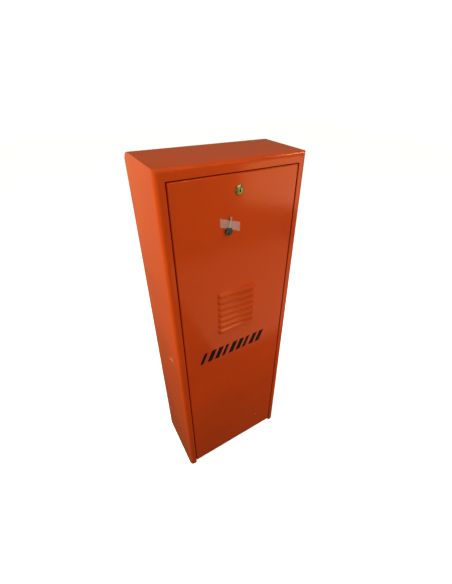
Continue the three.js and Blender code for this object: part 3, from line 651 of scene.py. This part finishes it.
plug = put(
    "lock_core",
    combine(on_lock(PLUG), [("DIFFERENCE", keyway(0.0016, 0.0045, FRONT - CLEAR, FRONT - 0.0006))]),
    SLOT_MATERIALS["brass"],
    "lock",
)
bevelled(plug, 0.00015, 2, 35)
# A dark fill just behind the keyway's face: painted shade standing in for the shadow deep in the slot.
put("lock_slot_shadow", keyway(0.0015, 0.0044, FRONT - 0.0036, FRONT - 0.0007), ink_and_painted_shade, "lock")
TAIL = [(0, -0.023), (0.0034, -0.023), (0.004, -0.0224), (0.004, -0.016), (0.0, -0.016)]
put("lock_tail", on_lock(TAIL), SLOT_MATERIALS["brass"], "lock")
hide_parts("lock_plug")

# ---- spare key, its tape, and the printed mark ----
KEY_FOOT, KEY_TIP = Vector((-0.0305, 0, 0.915)), Vector((-0.021, 0, 0.96))
ALONG = (KEY_TIP - KEY_FOOT).normalized()
ACROSS = Vector((ALONG.z, 0, -ALONG.x))


def on_key(along, across):
    """A point of the door, (x, z), from its place along and across the key."""
    p = KEY_FOOT + ALONG * along + ACROSS * across
    return (p.x, p.z)


def key_head():
    half = [
        (0.0, -0.004), (0.002, -0.0068), (0.006, -0.0086), (0.011, -0.0088), (0.015, -0.0072), (0.018, -0.0042),
    ]  # fmt: skip
    points = half + [(a, -b) for a, b in reversed(half)]
    body = prism([on_key(a, b) for a, b in points], "y", FRONT - 0.0062, FRONT - 0.0006)
    hole = round_bar("y", on_key(0.0048, 0), 0.0021, FRONT - CLEAR, FRONT, 20)
    return combine(body, [("DIFFERENCE", hole)])


def key_blade():
    teeth = [
        (0.0182, 0.0024), (0.022, 0.0024), (0.0235, 0.0012), (0.0255, 0.0024), (0.028, 0.0008), (0.0305, 0.0022),
        (0.033, 0.001), (0.0355, 0.0024), (0.038, 0.0012), (0.0405, 0.0022), (0.0432, 0.0014), (0.0455, 0.0),
    ]  # fmt: skip
    outline = [on_key(a, b) for a, b in [(0.0182, -0.0025), *teeth, (0.0448, -0.0025)]]
    body = prism(outline, "y", FRONT - 0.0042, FRONT - 0.0019)
    groove = [on_key(0.017, -0.0007), on_key(0.017, 0.0001), on_key(0.044, 0.0001), on_key(0.044, -0.0007)]
    return combine(body, [("DIFFERENCE", prism(groove, "y", FRONT - 0.0045, FRONT - 0.0037))])


head = put("spare_key_head", key_head(), SLOT_MATERIALS["dark_plastic"], "door")
bevelled(head, 0.0009, 3)
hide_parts("key_head")
blade = put("spare_key_blade", key_blade(), SLOT_MATERIALS["ground_steel"], "door")
bevelled(blade, 0.0002, 1)
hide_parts("key_blade")


# The tape's corners on the door, (x, z), from the upper left round to the lower left.
TAPE_CORNERS = [(-0.050, 0.958), (0.003, 0.940), (0.003, 0.917), (-0.049, 0.937)]
TAPE_LIFT = 0.0041
TAPE_TENT_HALF = 0.0058
TAPE_WRINKLE = 0.00022


def tape_mesh():
    """A strip of clear tape across the key: flat on the door, lifted where it crosses the key."""
    corners = [Vector((x, 0, z)) for x, z in TAPE_CORNERS]
    bm = bmesh.new()
    across, down = 40, 14
    rows = []
    for j in range(down + 1):
        row = []
        for i in range(across + 1):
            s, t = i / across, j / down
            p = corners[0].lerp(corners[1], s).lerp(corners[3].lerp(corners[2], s), t)
            off = (p - KEY_FOOT).dot(ACROSS)
            lift = TAPE_LIFT * math.exp(-((off / TAPE_TENT_HALF) ** 4))
            wrinkle = TAPE_WRINKLE * math.sin(i * 1.7 + j * 0.9) * math.sin(j * 1.3 - i * 0.35)
            p.y = FRONT - 0.0004 - lift - abs(wrinkle)
            row.append(bm.verts.new(p))
        rows.append(row)
    for upper, lower in zip(rows, rows[1:]):
        for i in range(across):
            bm.faces.new((upper[i], lower[i], lower[i + 1], upper[i + 1]))
    bmesh.ops.recalc_face_normals(bm, faces=bm.faces)
    return bm


tape = put("clear_tape", tape_mesh(), tape_look, "door")
skin = tape.modifiers.new("thickness", "SOLIDIFY")
skin.thickness = 0.00012
skin.offset = 0


MARK_LEFT, MARK_RIGHT = -0.123, 0.108
MARK_LOW, MARK_HIGH = 0.517, 0.556
MARK_LEAN = 0.017
MARK_BARS = 9


def mark_mesh():
    """A plain row of slanted bars on the door, all of one height."""
    bm = bmesh.new()
    step = (MARK_RIGHT - MARK_LEFT - MARK_LEAN) / MARK_BARS
    for k in range(MARK_BARS):
        x = MARK_LEFT + k * step
        width = step * (0.62 if k % 3 else 0.42)
        foot = [(x, MARK_LOW), (x + width, MARK_LOW)]
        outline = foot + [(x + width + MARK_LEAN, MARK_HIGH), (x + MARK_LEAN, MARK_HIGH)]
        part = prism(outline, "y", FRONT - 0.00035, FRONT - 0.00005)
        mesh = bpy.data.meshes.new("part")
        part.to_mesh(mesh)
        part.free()
        bm.from_mesh(mesh)
        bpy.data.meshes.remove(mesh)
    return bm


put("door_mark", mark_mesh(), ink_and_painted_shade, "door", smooth=False)

# ---- balance spring ----
SPRING_LOW, SPRING_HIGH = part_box("balance_spring")
SPRING_TURNS = 12
WIRE = 0.004
STEPS_PER_TURN = 36


def spring_mesh():
    """A round wire wound upwards, with one closed turn at each end."""
    centre = (SPRING_LOW + SPRING_HIGH) / 2
    radius = (SPRING_HIGH.x - SPRING_LOW.x) / 2 - WIRE
    low, high = SPRING_LOW.z + WIRE, SPRING_HIGH.z - WIRE
    closed = WIRE * 2.2
    climb = (high - low - 2 * closed) / (SPRING_TURNS - 2)
    bm = bmesh.new()
    rings = []
    sides = 12
    for i in range(SPRING_TURNS * STEPS_PER_TURN + 1):
        turn = i / STEPS_PER_TURN
        angle = turn * 2 * math.pi
        z = low + min(turn, 1) * closed + max(0, min(turn, SPRING_TURNS - 1) - 1) * climb
        z += max(0, turn - (SPRING_TURNS - 1)) * closed
        out = Vector((math.cos(angle), math.sin(angle), 0))
        middle = Vector((centre.x, centre.y, z)) + out * radius
        rings.append(
            [
                bm.verts.new(
                    middle
                    + out * WIRE * math.cos(2 * math.pi * k / sides)
                    + Vector((0, 0, WIRE * math.sin(2 * math.pi * k / sides)))
                )
                for k in range(sides)
            ]
        )
    for a, b in zip(rings, rings[1:]):
        for k in range(sides):
            bm.faces.new((a[k], a[(k + 1) % sides], b[(k + 1) % sides], b[k]))
    bm.faces.new(rings[0])
    bm.faces.new(rings[-1])
    bmesh.ops.recalc_face_normals(bm, faces=bm.faces)
    return bm


coil = put("coil_spring", spring_mesh(), SLOT_MATERIALS["spring_paint"], "cabinet")
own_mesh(coil)
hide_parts("balance_spring")


# ---- small fittings ----
def on_cabinet(name, bm, slot):
    """A fixed piece that looks as its slot says."""
    return put(name, bm, SLOT_MATERIALS[slot], "cabinet")


BOLT_FLATS = 0.010
BOLT_HEIGHT = 0.0055


def hex_bolt(name, place, direction):
    """A bolt's head, its corners cut by a cone."""
    top = BOLT_HEIGHT + 1e-5
    hexagon = prism(arc((0, 0), BOLT_FLATS / math.sqrt(3), 0, 300, 5), "z", 0.0, BOLT_HEIGHT)
    cone = [(0, -CLEAR), (0.62, -CLEAR), (0.56, BOLT_HEIGHT * 0.8), (0.49, top), (0, top)]
    dome = lathe([(BOLT_FLATS * share, z) for share, z in cone])
    head_bm = bm_of(combine(hexagon, [("INTERSECT", dome)]))
    bevelled(on_cabinet(name, turned_to(head_bm, direction, place), "zinc_plate"), 0.0003, 2, 30)


FLANGE_DEPTH = 0.0092  # from a bearing housing's outer end to its flange
front_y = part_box("front_bearing_housing")[0].y + FLANGE_DEPTH
rear_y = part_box("rear_bearing_housing")[1].y - FLANGE_DEPTH
for ix, x in enumerate((-0.034, 0.034)):
    for iz, z in enumerate((-0.026, 0.026)):
        hex_bolt(f"front_bearing_bolt_{ix}{iz}", (x, front_y, SHAFT_Z + z), (0, 1, 0))
        hex_bolt(f"rear_bearing_bolt_{ix}{iz}", (x, rear_y, SHAFT_Z + z), (0, -1, 0))

LID_SCREW = [(0, -0.001), (0.0042, -0.001), (0.0042, 0.0008), (0.0034, 0.0018), (0.0, 0.0022)]
LID_INSET = 0.009
lid_low, lid_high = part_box("control_box_lid")
for ix, x in enumerate((lid_low.x + LID_INSET, lid_high.x - LID_INSET)):
    for iz, z in enumerate((lid_low.z + LID_INSET, lid_high.z - LID_INSET)):
        screw = turned_to(lathe(LID_SCREW, 24), (0, -1, 0), (x, lid_low.y, z))
        on_cabinet(f"lid_screw_{ix}{iz}", screw, "zinc_plate")

BOARD_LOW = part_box("control_board")[0]
PARTS_PER_ROW = 8
for k in range(2 * PARTS_PER_ROW):
    x = BOARD_LOW.x + 0.075 + (k % PARTS_PER_ROW) * 0.017
    z = BOARD_LOW.z + 0.05 + (k // PARTS_PER_ROW) * 0.045
    w, h, d = random.uniform(0.006, 0.012), random.uniform(0.008, 0.026), random.uniform(0.004, 0.012)
    chip = box_bm((x - w / 2, x + w / 2), (BOARD_LOW.y - d, BOARD_LOW.y + 0.0002), (z, z + h))
    look = random.choice(["dark_steel", "dark_plastic", "grey_plastic", "brass"])
    bevelled(on_cabinet(f"board_part_{k:02d}", chip, look), 0.0006)


# ---- floor, light, camera ----
# Light from all round the room, by height: straight down, horizon, straight up.
ROOM_LIGHT = [(0.0, 0.04), (0.12, 0.07), (0.36, 0.34), (0.49, 0.6), (0.56, 0.16), (0.7, 0.16), (1.0, 0.3)]
ROOM_TINT = (1, 0.84, 0.52)


def floor_plane():
    """A pale floor that glows a little, so that it is as white as the photograph's ground."""
    bpy.ops.mesh.primitive_plane_add(size=14, location=(0, 0, -0.0005))
    floor = bpy.context.object
    floor.name = "studio_floor"
    look = material("pale_floor", (0.93, 0.93, 0.93), 0.85, 0.0, spread=0.01, bump=0.02, cloud=2.0)
    glow = look.node_tree.nodes["Principled BSDF"]
    glow.inputs["Emission Color"].default_value = (0.94, 0.97, 1, 1)
    glow.inputs["Emission Strength"].default_value = 0.86
    floor.data.materials.append(look)
    floor.visible_diffuse = False
    floor.visible_glossy = False


def room():
    """Warm light from all round for the object, and a plain white backdrop for the camera."""
    world = bpy.data.worlds.new("studio")
    bpy.context.scene.world = world
    world.use_nodes = True
    nodes, links = world.node_tree.nodes, world.node_tree.links
    surroundings = nodes["Background"]
    coords = nodes.new("ShaderNodeTexCoord")
    split = nodes.new("ShaderNodeSeparateXYZ")
    links.new(coords.outputs["Generated"], split.inputs["Vector"])
    height = nodes.new("ShaderNodeMapRange")
    height.inputs["From Min"].default_value = -1.0
    links.new(split.outputs["Z"], height.inputs["Value"])
    ramp = nodes.new("ShaderNodeValToRGB")
    for position, _ in ROOM_LIGHT[1:-1]:
        ramp.color_ramp.elements.new(position)
    for element, (_, level) in zip(ramp.color_ramp.elements, ROOM_LIGHT):
        element.color = (*(level * part for part in ROOM_TINT), 1)
    links.new(height.outputs["Result"], ramp.inputs["Fac"])
    links.new(ramp.outputs["Color"], surroundings.inputs["Color"])
    backdrop = nodes.new("ShaderNodeBackground")
    path = nodes.new("ShaderNodeLightPath")
    both = nodes.new("ShaderNodeMixShader")
    links.new(path.outputs["Is Camera Ray"], both.inputs["Fac"])
    links.new(surroundings.outputs["Background"], both.inputs[1])
    links.new(backdrop.outputs["Background"], both.inputs[2])
    backdrop.inputs["Color"].default_value = (1, 1, 1, 1)
    links.new(both.outputs["Shader"], nodes["World Output"].inputs["Surface"])


def area_light(name, place, target, size, power, color):
    data = bpy.data.lights.new(name, "AREA")
    data.shape = "RECTANGLE"
    data.size, data.size_y = size
    data.energy = power
    data.color = color
    obj = bpy.data.objects.new(name, data)
    bpy.context.scene.collection.objects.link(obj)
    obj.location = place
    obj.rotation_euler = (Vector(target) - Vector(place)).to_track_quat("-Z", "Y").to_euler()
    obj.visible_camera = False


LIGHTS = (
    # name, place, target, size, power, color
    ("left_window", (-1.8, 0.3, 1.3), (-0.19, 0, 0.95), (1.1, 1.1), 38, (1.0, 1.08, 0.78)),
    ("right_card", (1.45, -1.55, 0.5), (0.12, -0.1, 1.0), (0.9, 0.5), 4.0, (1.0, 0.9, 0.72)),
    ("front_top", (0.2, -1.6, 2.3), (0, -0.1, 1.0), (1.2, 0.8), 10.5, (1, 1, 1)),
    ("top_card", (0.1, -0.2, 3.0), (0, 0, 1.0), (1.2, 1.2), 6, (1.0, 0.95, 0.6)),
    ("floor_card", (0.72, -0.98, 0.02), (0.72, -0.98, 1.0), (1.15, 0.94), 3.6, (1.0, 0.62, 0.42)),
    ("louvre_card", (0.8, -2.2, 1.62), (0, -0.1, 0.7), (0.4, 0.4), 5.0, (1.0, 0.9, 0.85)),
    ("high_right_card", (1.35, -0.45, 2.4), (0.15, -0.1, 1.07), (0.5, 0.25), 5, (1.0, 0.95, 0.7)),
)  # fmt: skip
floor_plane()
room()
for light in LIGHTS:
    area_light(*light)


PHOTO_SIZE = (452.0, 584.0)
PHOTO_FOCAL = 311.02  # in pixels, as is the next line
PHOTO_CENTRE = (241.64, 279.56)
SENSOR_MM = 36.0
CAMERA_PLACE = (-0.358577, -0.677627, 1.235296)
CAMERA_TURN, CAMERA_HEIGHT, CAMERA_ROLL = -0.57363, 0.593978, 0.027748


def photo_camera():
    """The camera solved from the photograph. Its three angles are in radians."""
    turn, height, roll = CAMERA_TURN, CAMERA_HEIGHT, CAMERA_ROLL
    wide, long_side = PHOTO_SIZE
    back = Vector((math.sin(turn) * math.cos(height), -math.cos(turn) * math.cos(height), math.sin(height)))
    right = Vector((math.cos(turn), math.sin(turn), 0))
    up = back.cross(right)
    cam_x = right * math.cos(roll) + up * math.sin(roll)
    cam_y = up * math.cos(roll) - right * math.sin(roll)
    data = bpy.data.cameras.new("photo_camera")
    data.sensor_width = SENSOR_MM
    data.lens = PHOTO_FOCAL / long_side * SENSOR_MM
    data.shift_x = -(PHOTO_CENTRE[0] - wide / 2) / long_side
    data.shift_y = (PHOTO_CENTRE[1] - long_side / 2) / long_side
    data.clip_start = 0.02
    obj = bpy.data.objects.new("photo_camera", data)
    bpy.context.scene.collection.objects.link(obj)
    matrix = Matrix((cam_x, cam_y, back)).transposed().to_4x4()
    matrix.translation = Vector(CAMERA_PLACE)
    obj.matrix_world = matrix
    bpy.context.scene.camera = obj


photo_camera()
bpy.context.scene.view_settings.view_transform = "Standard"
